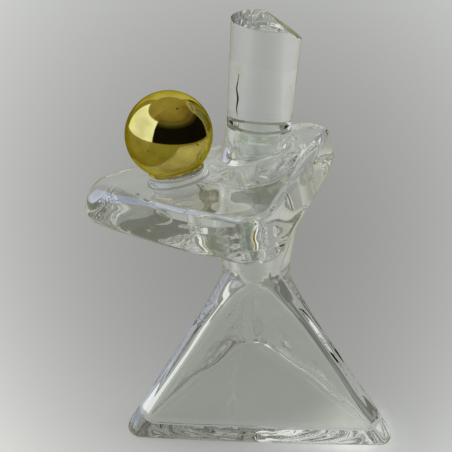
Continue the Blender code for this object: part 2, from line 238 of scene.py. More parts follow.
def skirt_rings(half_width, corner_radius, top_radius, foot_height, edge_radius, flat):
    """Sections from the foot to the waist, outside or inside.

    The half width grows from the waist to the foot as hypot(drop, rounding) - rounding, the lobe radius by a
    high power of the height, and the foot's edge is drawn in by a quarter circle.
    """
    full = waist_height - foot_height
    soft = np.hypot(full, waist_rounding) - waist_rounding
    edge = edge_radius * (1.0 - np.cos(np.radians(np.linspace(0.0, 90.0, 9)[:-1])))
    side = blend(edge_radius, full, np.linspace(0.0, 1.0, 46) ** side_ring_pace)
    height = np.concatenate((edge, side))
    widening = (np.hypot(full - height, waist_rounding) - waist_rounding) / soft
    short = np.clip(edge_radius - height, 0.0, None)
    inset = edge_radius - np.sqrt(edge_radius ** 2 - short ** 2)
    radius = blend(corner_radius, top_radius, (height / full) ** ridge_blend_power)
    radius = radius + foot_corner_extra * np.exp(-height / foot_corner_fade)
    lobe_radius = np.maximum(radius - inset, radius * foot_edge_share)
    flat = flat * (1.0 - (height / full) ** ridge_blend_power) * np.sqrt(widening)
    half_corner = np.radians(30.0)
    spread = blend(top_radius, half_width, widening) - inset - lobe_radius - flat * np.sin(half_corner)
    return rings(blend(waist_x, foot_x, widening), -skirt_forward * widening, foot_height + height, 0.0,
                 np.maximum(spread / np.cos(half_corner), 0.0), lobe_radius, skirt_heading_deg, flat)


def floor_rings(edge_row, shares):
    """Sections that shrink from an edge section to its middle, for a flat floor."""
    row = np.repeat(edge_row[None, :], len(shares), axis=0)
    row[:, 4:10] *= shares[:, None]
    return row


def torso_rings():
    """Sections from above the waist to the torso's root in the slab's underside, tipping as they rise."""
    top_z = slab_height(torso_x, torso_y, -slab_thickness / 2)
    rise = top_z - torso_root_radius - waist_height
    share = np.linspace(0.0, 1.0, 25)[1:]
    soft = (np.hypot(rise * share, waist_rounding) - waist_rounding) / (rise - waist_rounding)
    body = rings(blend(waist_x, torso_x, share), torso_y * share, waist_height + rise * share,
                 slab_tilt_deg * share, torso_spread * soft,
                 blend(waist_radius, torso_radius, soft), slab_heading_deg)
    turn = np.radians(np.linspace(0.0, 90.0, 7)[1:])
    z = top_z - torso_root_radius * (1.0 - np.sin(turn))
    root = rings(torso_x, torso_y, z, slab_tilt_deg, torso_spread,
                 torso_radius + torso_root_radius * (1.0 - np.cos(turn)), slab_heading_deg)
    return np.concatenate((body, root))


def slab_rows(above_middle, spread, radius, share=0.0, inner_x=0.0, inner_y=0.0, heading=slab_heading_deg):
    """Sections parallel to the slab, their centres a share of the way from its middle to a place."""
    x = blend(slab_middle[0], inner_x, share)
    y = blend(slab_middle[1], inner_y, share)
    return rings(x, y, slab_height(x, y, above_middle), slab_tilt_deg, spread, radius, heading)


def slab_lobes(level):
    """Spreads and headings of the slab's lobes at a level from 0, the underside, to 1, the top face.

    Each spread is twice what the lobe's radius leaves of the side's distance from the middle, which keeps the
    three sides in place. The front and back lobes are pulled towards the left lobe as the level rises, along
    the two sides that meet there, so only the right side leans inwards.
    """
    heading = np.radians(slab_heading_deg + np.array((0.0, 120.0, 240.0)))
    centre = 2.0 * (slab_side_reach - slab_lobe_radii) * np.exp(1j * heading)
    pull = slab_top_pulls * np.exp(1j * np.radians(slab_pull_headings_deg))
    centre = centre + np.atleast_1d(level)[:, None] * pull
    return np.abs(centre), np.degrees(np.angle(centre))


def rim_inset(level):
    """How far the rim is drawn in by each lobe's edge radius, at a level off the slab's middle plane."""
    over = np.clip(np.abs(level)[:, None] - (slab_thickness / 2 - slab_edge_radii), 0.0, slab_edge_radii)
    return slab_edge_radii - np.sqrt(slab_edge_radii ** 2 - over ** 2)


def crisp_side(grid, first_row):
    """Moves the slab's left front side outwards so that its rounding stays close to the left lobe.

    The side's inset runs straight from the left lobe's to the front lobe's. Here it runs with a high power of
    the way from the front lobe instead, so each point moves by the difference. On the flat faces the move
    fades with the square of the section's size.
    """
    table = slab_rings()
    level = np.abs(np.dot(table[:, :3] - slab_middle, slab_normal()))
    inset = rim_inset(level)
    on_rim = level < rim_share * slab_thickness / 2
    size = np.where(on_rim, 1.0, (table[:, 4] / table[:, 4].max()) ** 2)
    room = (inset[:, 0] - inset[:, 1]) * size
    heading = np.radians(slab_heading_deg + np.array((0.0, 120.0)))
    left, front = 2.0 * (slab_side_reach - slab_lobe_radii[:2]) * np.exp(1j * heading)
    rows = grid[first_row:first_row + len(table)]
    place = (rows[..., 0] - slab_middle[0]) + 1j * (rows[..., 1] - slab_middle[1])
    way = np.clip(((place - front) * np.conj(left - front)).real / np.abs(left - front) ** 2, 0.0, 1.0)
    side_heading = np.radians(slab_heading_deg + 60.0)
    beside = np.exp(-((directions - side_heading) / np.radians(crisp_reach_deg)) ** 2)
    move = room[:, None] * (way - way ** crisp_power) * beside
    along, across, cosine, sine = slab_tilt_axes(slab_tilt_deg)
    outward = np.array((np.cos(side_heading), np.sin(side_heading), 0.0))
    downhill = along * cosine - np.array((0.0, 0.0, sine))
    rows += move[..., None] * (along @ outward * downhill + across @ outward * across)


def slab_rings():
    """Sections out over the underside, round the rim and back over the top face to the neck's root."""
    half = slab_thickness / 2
    spreads, _ = slab_lobes(0.0)
    inner = (slab_lobe_radii - slab_edge_radii)[None, :]
    share = np.linspace(1.0, 0.0, 18)[1:-1, None]
    under = slab_rows(-half, blend(spreads, torso_spread, share),
                      blend(inner, torso_radius + torso_root_radius, share), share[:, 0], torso_x, torso_y)
    turn = np.sin(np.radians(np.linspace(0.0, 90.0, 9)))
    levels = np.concatenate([half - radius + radius * turn for radius in np.unique(slab_edge_radii)])
    levels = np.unique(np.round(np.concatenate((levels, -levels)), 6))
    rim_spreads, rim_headings = slab_lobes(0.5 + levels / slab_thickness)
    rim = slab_rows(levels, rim_spreads, slab_lobe_radii - rim_inset(levels), heading=rim_headings)
    share = np.linspace(0.0, 1.0, 30)[1:-1, None]
    spreads, headings = slab_lobes(1.0)
    top = slab_rows(half, blend(spreads, 0.0, share), blend(inner, neck_radius + neck_root_radius, share),
                    share[:, 0], heading=headings + 0.0 * share)
    return np.concatenate((under, rim, top))


def round_rings(z, radius, x=0.0, tilt_deg=0.0):
    """Round sections on the neck's axis, or beside it at x."""
    return rings(x, 0.0, z, tilt_deg, 0.0, radius, slab_heading_deg)


def neck_rings():
    """Sections from the neck's root, up its outside and over the lip to the bore."""
    foot = slab_height(0.0, 0.0, slab_thickness / 2)
    share = np.linspace(0.0, 1.0, 12)
    turn = np.radians(90.0 * share)
    root = round_rings(foot + neck_root_radius * (1.0 - np.cos(turn)),
                       neck_radius + neck_root_radius * (1.0 - np.sin(turn)),
                       tilt_deg=slab_tilt_deg * (1.0 - share))
    level = neck_height - lip_edge_radius
    wall = round_rings(foot + np.linspace(neck_root_radius, level, 6)[1:-1], neck_radius)
    outer = edge_arc(neck_radius - lip_edge_radius, level, lip_edge_radius, 0.0, 90.0, 6)
    inner = edge_arc(neck_bore_radius + lip_edge_radius, level, lip_edge_radius, 90.0, 180.0, 6)
    lip = [round_rings(foot + height, radius) for radius, height in (outer, inner)]
    return np.concatenate((root, wall, *lip))


def bore_rings():
    """Sections down the neck's bore, in over its shoulder to a narrow passage, and down that to the waist."""
    foot = slab_height(0.0, 0.0, slab_thickness / 2)
    down = np.linspace(neck_height - lip_edge_radius, -shoulder_depth, 16)[1:]
    share = np.linspace(0.0, 1.0, 12)[1:]
    narrowing = np.sin(np.radians(90.0 * share)) ** shoulder_power
    shoulder = round_rings(blend(foot - shoulder_depth, foot - passage_depth, share),
                           blend(neck_bore_radius, passage_radius, narrowing))
    share = np.linspace(0.0, 1.0, 26)[1:]
    passage = round_rings(blend(foot - passage_depth, waist_height, share),
                          blend(passage_radius, waist_radius * bore_share, share), blend(0.0, waist_x, share))
    return np.concatenate((round_rings(foot + down, neck_bore_radius), shoulder, passage))


def grid_normals(grid):
    """Unit normals of a closed grid: the cross product of its change round the ring and along the rings."""
    around = np.roll(grid, -1, axis=1) - np.roll(grid, 1, axis=1)
    onward = np.gradient(grid, axis=0)
    normal = np.cross(around, onward)
    return normal / np.maximum(np.linalg.norm(normal, axis=-1, keepdims=True), 1e-12)


def waves(points, wavelength, seed, count=9):
    """A smooth random field between about -1 and 1: the mean of sine waves in seeded directions."""
    draw = np.random.default_rng(seed)
    direction = draw.normal(size=(count, 3))
    direction /= np.linalg.norm(direction, axis=1, keepdims=True)
    pace = 2.0 * np.pi / (wavelength * draw.uniform(0.7, 1.6, count))
    phase = draw.uniform(0.0, 2.0 * np.pi, count)
    return np.sin(points @ (direction * pace[:, None]).T + phase).sum(axis=-1) / np.sqrt(count)


def ring_quads(ring_count, side_count, start=0):
    """Quads between neighbouring closed rings whose points are numbered ring by ring from the start."""
    ring = np.arange(ring_count - 1)[:, None] * side_count + start
    side = np.arange(side_count)
    after = (side + 1) % side_count
    corners = (ring + side, ring + after, ring + side_count + after, ring + side_count + side)
    return np.stack(corners, axis=-1).reshape(-1, 4).tolist()


def capped_faces(ring_count, side_count, offset=0):
    """Quads between neighbouring rings, and a fan of triangles from each end ring to its pole.

    Points are numbered pole, rings in order, pole. Seen from outside, each quad runs counterclockwise.
    """
    side = np.arange(side_count)
    after = (side + 1) % side_count
    start = offset + 1
    last = start + (ring_count - 1) * side_count
    low = np.stack((np.full(side_count, offset), start + after, start + side), axis=-1)
    high = np.stack((np.full(side_count, last + side_count), last + side, last + after), axis=-1)
    return ring_quads(ring_count, side_count, start) + low.tolist() + high.tolist()


def capped_points(grid):
    """The grid's points in order, between its two poles, which are the means of the end rings."""
    return np.concatenate((grid[0].mean(axis=0)[None], grid.reshape(-1, 3), grid[-1].mean(axis=0)[None]))


def make_piece(name, points, faces, material):
    """A mesh object at the origin, shaded smooth but for edges sharper than sharp_deg."""
    mesh = bpy.data.meshes.new(name)
    mesh.from_pydata(points.tolist(), [], faces)
    mesh.materials.append(material)
    mesh.shade_smooth()
    mesh.set_sharp_from_angle(angle=np.radians(sharp_deg))
    mesh.update()
    piece = bpy.data.objects.new(name, mesh)
    scene.collection.objects.link(piece)
    return piece


def capped_piece(name, grid, material):
    """A piece whose skin is a closed grid."""
    return make_piece(name, capped_points(grid), capped_faces(*grid.shape[:2]), material)


def turned_grid(profile, sides):
    """Points of a turned form about Z: each (radius, height) of the profile, carried round a full turn."""
    radius, height = np.asarray(profile, float).T
    turn = np.linspace(0.0, 2.0 * np.pi, sides, endpoint=False)
    x = radius[:, None] * np.cos(turn)
    y = radius[:, None] * np.sin(turn)
    return np.stack((x, y, np.broadcast_to(height[:, None], x.shape)), axis=-1)


def on_slab(points, x, y):
    """Carries points from the upright frame to one that stands square on the slab's top face at (x, y)."""
    return np.array((x, y, slab_height(x, y, slab_thickness / 2))) + tipped(points, slab_tilt_deg)


def air_thread(places, radii, count=60, sides=12, spread=3):
    """Points of a thread of air: circles of varying radius carried along a smoothed path, closed at its ends.

    The places and radii are spread evenly by path length, then smoothed by a short running mean. The radii
    shrink towards both ends as the root of the sine of the way.
    """
    places = np.asarray(places, float)
    length = np.concatenate(([0.0], np.cumsum(np.linalg.norm(np.diff(places, axis=0), axis=1))))
    way = np.linspace(0.0, length[-1], count)
    values = np.column_stack((places, radii))
    path = np.stack([np.interp(way, length, column) for column in values.T], axis=-1)
    padded = np.concatenate((path[:1].repeat(spread, axis=0), path, path[-1:].repeat(spread, axis=0)))
    near = np.full(2 * spread + 1, 1.0 / (2 * spread + 1))
    path = np.stack([np.convolve(column, near, "valid") for column in padded.T], axis=-1)
    width = path[:, 3] * np.sqrt(np.sin(np.linspace(thread_end_angle, np.pi - thread_end_angle, count)))
    ahead = np.gradient(path[:, :3], axis=0)
    ahead /= np.linalg.norm(ahead, axis=1, keepdims=True)
    one = np.cross(ahead, thread_aside)
    one /= np.linalg.norm(one, axis=1, keepdims=True)
    two = np.cross(ahead, one)
    turn = np.linspace(0.0, 2.0 * np.pi, sides, endpoint=False)[None, :, None]
    rim = np.cos(turn) * one[:, None] + np.sin(turn) * two[:, None]
    return path[:, None, :3] + rim * width[:, None, None]


def with_voids(points, faces, voids):
    """Adds closed grids to a mesh as hollows in it, so their faces are turned round to look at the air."""
    points, faces = [points], list(faces)
    for grid in voids:
        offset = sum(len(part) for part in points)
        points.append(capped_points(grid))
        faces += [face[::-1] for face in capped_faces(*grid.shape[:2], offset)]
    return np.concatenate(points), faces


def feed(tree, socket, value):
    """Gives an input another node's output, or else its own number, vector or colour."""
    if isinstance(value, bpy.types.NodeSocket):
        tree.links.new(value, socket)
    else:
        socket.default_value = (*value, 1.0) if socket.type == "RGBA" else value


def add_node(tree, kind, inputs, output=0, **settings):
    """A new shader node with these settings and inputs. Gives back the output of that name or number."""
    made = tree.nodes.new("ShaderNode" + kind)
    for name, value in settings.items():
        setattr(made, name, value)
    for place, value in inputs.items():
        feed(tree, made.inputs[place], value)
    return made.outputs[output]


def mixed(tree, share, first, second):
    """The first colour where the share is 0, the second where it is 1."""
    return add_node(tree, "Mix", {"Factor": share, "A": first, "B": second}, "Result", data_type="RGBA")


def ranged(tree, value, start, end, low, high, **settings):
    """A value carried from the range start to end over to the range low to high, and held there."""
    inputs = {"Value": value, "From Min": start, "From Max": end, "To Min": low, "To Max": high}
    return add_node(tree, "MapRange", inputs, "Result", **settings)


def noise(tree, place, scale, detail, roughness=0.5):
    """Soft clouds between about 0 and 1."""
    inputs = {"Vector": place, "Scale": scale, "Detail": detail, "Roughness": roughness}
    return add_node(tree, "TexNoise", inputs, "Fac")


def new_finish(name, transmission=0.0):
    """A new material, its node tree, its shader's inputs and the object's own coordinates."""
    material = bpy.data.materials.new(name)
    material.use_nodes = True
    tree = material.node_tree
    shader = tree.nodes["Principled BSDF"].inputs
    shader["Transmission Weight"].default_value = transmission
    shader["IOR"].default_value = refraction
    return material, tree, shader, add_node(tree, "TexCoord", {}, "Object")


def grain(tree, height, depth):
    """A normal that follows a height over the surface, to this depth."""
    return add_node(tree, "Bump", {"Height": height, "Distance": depth}, "Normal")


def glass_finish(name, tint, deep_tint, ripple_scale, ripple_height):
    """Clear glass: two close tints in soft clouds, a faint haze in patches, and a fine surface ripple."""
    material, tree, shader, place = new_finish(name, 1.0)
    cloud = noise(tree, place, glass_cloud_scale, 3.0)
    feed(tree, shader["Base Color"], mixed(tree, cloud, tint, deep_tint))
    feed(tree, shader["Roughness"], ranged(tree, cloud, 0.45, 0.75, 0.0, glass_haze))
    feed(tree, shader["Normal"], grain(tree, noise(tree, place, ripple_scale, 2.0, 0.35), ripple_height))
    return material


body_glass = glass_finish("clear_body_glass", (0.985, 0.997, 0.975), (0.965, 0.985, 0.945), 160.0, 0.00006)

outside = skirt_rings(base_half_width, base_corner_radius, waist_radius, 0.0, foot_edge_radius, ridge_flat)
inside = skirt_rings(base_half_width - skirt_wall, chamber_corner_radius,
                     waist_radius * bore_share, floor_thickness, foot_edge_radius * chamber_edge_share, 0.0)
floor_shares = np.linspace(pole_share, 1.0, 16)[:-1]
stretches = (floor_rings(outside[0], floor_shares), outside, torso_rings(), slab_rings(), neck_rings(),
             bore_rings(), inside[-2::-1], floor_rings(inside[0], floor_shares[::-1]))
_, _, slab_start, neck_start, bore_start, *_ = np.cumsum([len(stretch) for stretch in stretches])
directions = outline_directions()
body_grid = section_grid(np.concatenate(stretches), directions)
crisp_side(body_grid, slab_start)
unevenness = sum(height * waves(body_grid, wavelength, seed) for height, wavelength, seed in ripples)
still = np.zeros(len(body_grid))
still[neck_start:bore_start + calm_bore_rings] = 1.0
near_floor = np.clip(1.0 - body_grid[..., 2] / foot_edge_radius, 0.0, 1.0)
calm = np.clip(1.0 - still[:, None] - near_floor ** 2, 0.0, 1.0)
body_grid = body_grid + grid_normals(body_grid) * (unevenness * calm)[..., None]
bottle = capped_piece("bottle_glass", body_grid, body_glass)

# The boss with its stud, turned about a line square to the slab, then joined to the body.
root_turn = np.radians(np.linspace(90.0, 0.0, 6))
boss_profile = [(boss_radius + boss_root_radius, -overrun),
                *zip(boss_radius + boss_root_radius * (1.0 - np.cos(root_turn)),
                     boss_root_radius * (1.0 - np.sin(root_turn))),
                *zip(*edge_arc(boss_radius - boss_edge_radius, boss_height - boss_edge_radius,
                               boss_edge_radius, 0.0, 90.0, 7)),
                (stud_radius, boss_height),
                *zip(*edge_arc(stud_radius - boss_edge_radius, boss_height + stud_height - boss_edge_radius,
                               boss_edge_radius, 0.0, 90.0, 7))]
boss_grid = on_slab(turned_grid(boss_profile, boss_sides), boss_x, boss_y)
boss = capped_piece("boss_form", boss_grid, body_glass)
union = bottle.modifiers.new("boss", "BOOLEAN")
union.operation = "UNION"
union.solver = "EXACT"
union.object = boss
bpy.context.view_layer.update()
joined = bpy.data.meshes.new_from_object(bottle.evaluated_get(bpy.context.evaluated_depsgraph_get()))
bottle.modifiers.clear()
bottle.data = joined
bpy.data.objects.remove(boss)

# Air caught in the slab: one curling thread, and specks. A thread has places and radii; a speck has the x, y
# and z of its middle, its half width and its length, all in tenths of a millimetre, and its direction.
swirl = tenths(((-312, -85, 602), (-296, -126, 608), (-279, -169, 614), (-255, -225, 630), (-239, -245, 630),
                (-225, -260, 629), (-209, -279, 632), (-202, -285, 625), (-208, -274, 611), (-223, -253, 599),
                (-241, -230, 588)))
swirl_radii = np.array((20, 34, 26, 18, 24, 36, 48, 52, 46, 34, 22)) * 1e-5
edge_run = (0.643, -0.766, 0.193)
slab_specks = ((-144, -358, 646, 1.8, 8, (0.1, 0.1, 1.0)), (-141, -355, 640, 1.6, 7, edge_run),
               (-378, -69, 573, 2, 8, (0.2, -0.2, 1.0)), (-346, -111, 597, 1.6, 6, (0.2, -0.2, 1.0)),
               (-327, -115, 531, 3.2, 30, edge_run), (-298, -149, 536, 1.6, 16, edge_run),
               (-252, -212, 565, 1.4, 16, edge_run), (-150, -338, 598, 1.4, 4, (0.0, 0.0, 1.0)),
               (117, -131, 670, 2.4, 22, (0.5, 0.6, 0.9)), (112, -112, 668, 1.8, 14, (0.1, 0.9, 0.5)),
               (159, -24, 665, 2.2, 20, (0.4, 0.8, 0.7)), (135, -106, 641, 1.6, 10, (0.2, 0.5, 0.9)),
               (114, -54, 715, 2, 24, (0.6, 0.7, 0.4)), (180, 89, 725, 1.8, 16, (0.7, 0.5, 0.5)))
speck_size = 1.7
threads = [air_thread(swirl, swirl_radii)]
for x, y, z, width, run, axis in slab_specks:
    step = np.asarray(axis) / np.linalg.norm(axis) * tenths(run) / 2
    middle = tenths((x, y, z))
    threads.append(air_thread([middle - step, middle, middle + step], np.full(3, speck_size * tenths(width))))
joined_points = np.empty(3 * len(joined.vertices))
joined.vertices.foreach_get("co", joined_points)
joined_faces = [tuple(face.vertices) for face in joined.polygons]
body_points, body_faces = with_voids(joined_points.reshape(-1, 3), joined_faces, threads)
joined.clear_geometry()
joined.from_pydata(body_points.tolist(), [], body_faces)
joined.update()
joined.shade_smooth()
joined.set_sharp_from_angle(angle=np.radians(sharp_deg))
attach(bottle, "bottle")
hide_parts("bottle_body")

# Stopper sleeve
# A thin translucent polyethylene sleeve that is pushed on the glass plug and makes the neck tight. Its flange
# lies between the head and the neck's lip and shows as a pale ring.
seat_gap = 0.0003
sleeve_wall = 0.0005
flange_foot, flange_top = 0.00003, 0.00033
head_foot = 0.0014
head_seat = 0.00036
plug_length = 0.0130
plug_tip_radius = 0.0010
sleeve_sides = 96
plastic_cloud_scale = 220.0
plastic_grain = 0.00002
lip_z = slab_height(0.0, 0.0, slab_thickness / 2) + neck_height


def plastic_finish(name, colour, shade, transmission, roughness):
    """Milky plastic: two close shades in fine clouds, soft gloss that varies a little, and a fine grain."""
    material, tree, shader, place = new_finish(name, transmission)
    cloud = noise(tree, place, plastic_cloud_scale, 5.0)
    feed(tree, shader["Base Color"], mixed(tree, cloud, colour, shade))
    feed(tree, shader["Roughness"], ranged(tree, cloud, 0.0, 1.0, roughness * 0.7, roughness * 1.3))
    feed(tree, shader["Normal"], grain(tree, cloud, plastic_grain))
    return material


sleeve_plastic = plastic_finish("sleeve_polyethylene", (0.98, 0.99, 0.98), (0.95, 0.97, 0.95), 1.0, 0.06)
sleeve_outer = neck_bore_radius - seat_gap
sleeve_inner = sleeve_outer - sleeve_wall
sleeve_foot = head_foot - plug_length + plug_tip_radius
sleeve_profile = [(sleeve_inner, sleeve_foot), (sleeve_outer, sleeve_foot)]
sleeve_profile += [(sleeve_outer, height) for height in np.linspace(sleeve_foot, flange_foot, 9)[1:]]
sleeve_profile += [(neck_radius, flange_foot), (neck_radius, flange_top), (sleeve_inner, flange_top)]
sleeve_points = (turned_grid(sleeve_profile, sleeve_sides) + np.array((0.0, 0.0, lip_z))).reshape(-1, 3)
sleeve_faces = np.array(ring_quads(len(sleeve_profile) + 1, sleeve_sides)) % len(sleeve_points)
sleeve = make_piece("plug_sleeve", sleeve_points, sleeve_faces.tolist(), sleeve_plastic)
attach(sleeve, "sleeve")
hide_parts("stopper_sleeve")

# Stopper
# One piece of solid clear glass: a head that widens slightly upwards and is cut off obliquely and polished,
# and below it the ground plug that goes into the sleeve. It turns and lifts out by hand.
head_length = 0.0250
head_top_radius = 0.0087
head_foot_edge = 0.0001
crest_deg, crest_heading_deg = 3.3, 290.0
cut_deg, cut_heading_deg = 31.0, 10.0
cut_rise = 0.0013
cut_pole_share = 0.02
tip_ring_share = 0.3
facet_softness = 0.00006
rim_edge_least, rim_edge_chips = 0.00022, 0.00030
chip_waves, chip_floor, chip_top = ((17.0, 0.0), (29.0, 1.0), (41.0, 2.5)), 0.6, 1.6
stopper_ripple = (0.00007, 0.016, 11)
stain_middle = (-0.0060, -0.0056, 0.0139)
stain_core, stain_reach = 0.0004, 0.0020
stain_strength = 0.8
stain_tint = (0.88, 0.80, 0.66)
flaw_path = tenths(((-58, -46, 131), (-59, -45, 117), (-61, -41, 91), (-57, -47, 69),
                    (-59, -45, 42), (-56, -49, 22)))
flaw_radii = np.array((30, 16, 20, 28, 22, 14)) * 1e-5
plug_radius = neck_bore_radius - 2 * seat_gap - sleeve_wall
plug_taper = 0.0002
plug_tip = head_foot - plug_length


def cut_height(x, y):
    """Height of the head's cut at plan place (x, y): the soft minimum of the crest's plane and the main one.

    Each plane falls towards its heading. The lower one counts, with a narrow rounding where they meet.
    """
    planes = []
    for fall_deg, heading_deg, rise in ((crest_deg, crest_heading_deg, 0.0),
                                        (cut_deg, cut_heading_deg, cut_rise)):
        heading = np.radians(heading_deg)
        planes.append(rise - np.tan(np.radians(fall_deg)) * (x * np.cos(heading) + y * np.sin(heading)))
    gap = np.abs(planes[0] - planes[1])
    lower = np.minimum(*planes) - facet_softness * np.log1p(np.exp(-gap / facet_softness))
    return head_foot + head_length + lower


def head_grid(sides=320):
    """The stopper's rings: plug, flat under the head, side and cut.

    The side's rings climb from the head's foot to the cut plane in equal shares at each direction, and the
    cut's rings shrink along the plane to its middle.
    """
    turn = np.linspace(0.0, 2.0 * np.pi, sides, endpoint=False)
    tip = edge_arc(plug_radius - plug_taper - plug_tip_radius, plug_tip + plug_tip_radius, plug_tip_radius,
                   -90.0, 0.0, 6)
    climb = np.linspace(plug_tip + plug_tip_radius, head_seat, 10)[1:]
    taper = np.linspace(plug_radius - plug_taper, plug_radius, 10)[1:]
    foot = edge_arc(neck_radius - head_foot_edge, head_seat + head_foot_edge, head_foot_edge, -90.0, 0.0, 6)
    lower = [(tip_ring_share * plug_radius, plug_tip), *zip(*tip), *zip(taper, climb), *zip(*foot)]
    below = turned_grid(lower, sides)
    slope = (head_top_radius - neck_radius) / head_length

    def cut_at(radius):
        return cut_height(radius * np.cos(turn), radius * np.sin(turn))

    def placed(radius, height):
        return np.stack((radius * np.cos(turn), radius * np.sin(turn), height), axis=-1)

    rim_radius = np.full(sides, head_top_radius)
    for _ in range(6):
        rim_radius = neck_radius + slope * (cut_at(rim_radius) - head_foot)
    chips = sum(np.sin(count * turn + phase) for count, phase in chip_waves) - chip_floor
    rim_edge = rim_edge_least + rim_edge_chips * np.clip(chips, 0.0, chip_top)
    rim_z = cut_at(rim_radius) - rim_edge
    height = blend(head_seat + head_foot_edge, rim_z, np.linspace(0.0, 1.0, 44)[1:, None])
    side = placed(neck_radius + slope * np.maximum(height - head_foot, 0.0), height)
    round_off = np.radians(np.linspace(0.0, 90.0, 6)[1:, None])
    edge = placed(rim_radius - rim_edge * (1.0 - np.cos(round_off)), rim_z + rim_edge * np.sin(round_off))
    radius = (rim_radius - rim_edge) * np.linspace(1.0, cut_pole_share, 44)[1:, None]
    top = placed(radius, cut_at(radius))
    return np.concatenate((below, side, edge, top)), len(below), len(side)


# Clear glass, with a brown stain at the upper end of its flaw.
stopper_glass = glass_finish("clear_stopper_glass", (0.985, 0.995, 0.99), (0.97, 0.99, 0.975), 120.0, 0.00004)
tree = stopper_glass.node_tree
glass_colour = tree.nodes["Principled BSDF"].inputs["Base Color"]
stain_place = (*stain_middle[:2], lip_z + head_foot + stain_middle[2])
stain_distance = add_node(tree, "VectorMath", {0: add_node(tree, "TexCoord", {}, "Object"), 1: stain_place},
                          "Value", operation="DISTANCE")
stain_share = ranged(tree, stain_distance, stain_core, stain_reach, stain_strength, 0.0,
                     interpolation_type="SMOOTHSTEP")
feed(tree, glass_colour, mixed(tree, stain_share, glass_colour.links[0].from_socket, stain_tint))

stopper_grid, side_start, side_count = head_grid()
moving = np.zeros(len(stopper_grid))
moving[side_start:side_start + side_count] = np.sin(np.radians(np.linspace(0.0, 180.0, side_count)))
ripple_height, *ripple_run = stopper_ripple
stopper_shift = ripple_height * waves(stopper_grid, *ripple_run) * moving[:, None]
stopper_grid = stopper_grid + grid_normals(stopper_grid) * stopper_shift[..., None]
stopper_grid = stopper_grid + np.array((0.0, 0.0, lip_z))
stopper = capped_piece("stopper_glass", stopper_grid, stopper_glass)
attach(stopper, "stopper")
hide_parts("stopper")

# The flaw, a thin dark thread just under the head's skin.
flaw_dirt = plastic_finish("flaw_dirt", (0.028, 0.012, 0.010), (0.09, 0.05, 0.04), 0.0, 0.6)
flaw_grid = air_thread(flaw_path + (0.0, 0.0, lip_z + head_foot), flaw_radii)
flaw = capped_piece("stopper_flaw", flaw_grid, flaw_dirt)
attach(flaw, "stopper")

# Gilt ball
# A thin spun metal shell, gilt and polished, now a little spotted and worn. Its lipped mouth stands on the
# cement bed over the boss, and a plastic bush inside the mouth grips the glass stud.
ball_radius = 0.0105
ball_wall = 0.0008
ball_mouth_radius = 0.0067
ball_lip_height = 0.0005
ball_sides = 112
cement_thickness = 0.0004
gilt_cloud_scale, gilt_pit_scale, gilt_wear_scale = 150.0, 520.0, 210.0
bed_foot = boss_height + seat_gap
mouth_height = bed_foot + cement_thickness + seat_gap
ball_height = mouth_height + ball_lip_height + np.sqrt(ball_radius ** 2 - ball_mouth_radius ** 2)


def gilt_finish(name):
    """Gilt metal: warm gold, browner in soft clouds and fine stains, with dark pits where it is worn."""
    material, tree, shader, place = new_finish(name)
    shader["Metallic"].default_value = 1.0
    shader["Specular Tint"].default_value = (0.72, 0.66, 0.24, 1.0)
    cloud = noise(tree, place, gilt_cloud_scale, 6.0, 0.6)
    gold = mixed(tree, ranged(tree, cloud, 0.35, 0.62, 0.0, 1.0), (0.60, 0.45, 0.10), (0.84, 0.71, 0.17))
    cells = add_node(tree, "TexVoronoi", {"Vector": place, "Scale": gilt_pit_scale}, "Distance")
    pit = ranged(tree, cells, 0.10, 0.22, 1.0, 0.0)
    worn = ranged(tree, noise(tree, place, gilt_wear_scale, 1.0), 0.58, 0.66, 0.0, 1.0)
    pitted = add_node(tree, "Math", {0: pit, 1: worn}, operation="MULTIPLY")
    feed(tree, shader["Base Color"], mixed(tree, pitted, gold, (0.07, 0.05, 0.02)))
    feed(tree, shader["Roughness"], ranged(tree, cloud, 0.0, 1.0, 0.10, 0.02))
    feed(tree, shader["Normal"], grain(tree, cloud, 0.00001))
    return material


def shell_piece(name, outer, inner, material):
    """A shell with one mouth: outer rings up to a pole, and inner rings from a pole down to the mouth."""
    sides = outer.shape[1]
    outer_size, inner_size = outer.shape[0] * sides, inner.shape[0] * sides
    start = outer_size + 1
    pole = start + inner_size
    points = np.concatenate((outer.reshape(-1, 3), outer[-1].mean(axis=0)[None],
                             inner.reshape(-1, 3), inner[0].mean(axis=0)[None]))
    here = np.arange(sides)
    after = (here + 1) % sides
    top, foot = outer_size - sides, pole - sides
    faces = ring_quads(len(outer), sides) + ring_quads(len(inner), sides, start)
    for corners in ((np.full(sides, outer_size), top + here, top + after),
                    (np.full(sides, pole), start + after, start + here),
                    (foot + here, foot + after, after, here)):
        faces += np.stack(corners, axis=-1).tolist()
    return make_piece(name, points, faces, material)


def ball_arc(radius, start_deg, end_deg, count):
    """Radii and heights on the ball, from one angle above its level middle to another."""
    return zip(*edge_arc(0.0, ball_height, radius, start_deg, end_deg, count))


throat = ball_mouth_radius - ball_wall
inner_radius = ball_radius - ball_wall
outer_foot_deg = -np.degrees(np.arccos(ball_mouth_radius / ball_radius))
inner_foot_deg = -np.degrees(np.arccos(throat / inner_radius))
outer_profile = [(throat, mouth_height), (ball_mouth_radius, mouth_height),
                 *ball_arc(ball_radius, outer_foot_deg, 89.0, 60)]
inner_profile = list(ball_arc(inner_radius, 89.0, inner_foot_deg, 30))
shell_outer, shell_inner = (on_slab(turned_grid(profile, ball_sides), boss_x, boss_y)
                            for profile in (outer_profile, inner_profile))
ball = shell_piece("gilt_ball", shell_outer, shell_inner, gilt_finish("gilt_metal"))
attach(ball, "bottle")
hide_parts("gold_ball")

